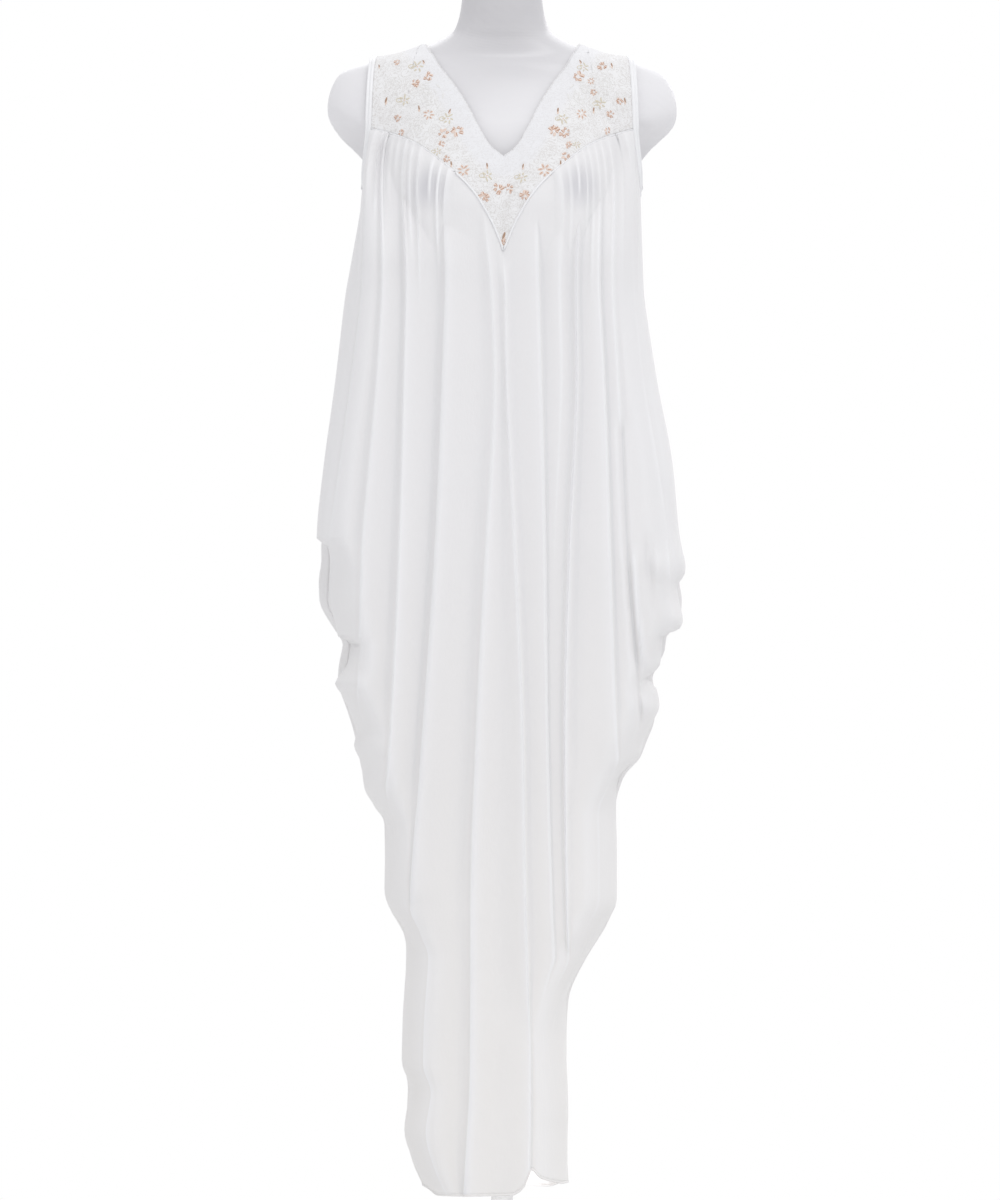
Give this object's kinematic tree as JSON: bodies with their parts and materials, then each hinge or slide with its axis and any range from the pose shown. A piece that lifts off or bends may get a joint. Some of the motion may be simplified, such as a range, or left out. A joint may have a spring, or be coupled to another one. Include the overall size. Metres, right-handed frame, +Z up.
{
  "type": "long gathered gown on a limbless dress form with a stand",
  "caption": "Sleeveless V-neck cocoon gown with a lace yoke, gathered body, side swags and a narrow hem, on a limbless dress form with a round stand.",
  "frame": {"origin": "on the floor under the middle of the dress form's width, inside the footprint of the round base", "axes": "+Z up from the floor, -Y towards the front of the gown, +X towards the gown's left as the picture shows it on the right"},
  "size_m": [0.426, 0.32, 1.508],
  "materials": {
    "gown_jersey": "fine ivory white jersey with a soft sheen",
    "yoke_lace": "cream white net lace with small embroidered flowers",
    "trim_satin": "white satin binding and piping",
    "form_shell": "satin white moulded shell",
    "stand_metal": "white powder coat"
  },
  "bodies": {
    "root": {"front_yoke": "yoke_lace", "back_yoke": "yoke_lace", "front_body": "gown_jersey", "back_body": "gown_jersey", "armhole_binding_left": "trim_satin", "armhole_binding_right": "trim_satin", "yoke_piping_left": "trim_satin", "yoke_piping_right": "trim_satin", "dress_form": "form_shell", "stand_pole": "stand_metal", "stand_base": "stand_metal"}
  },
  "joints": []
}
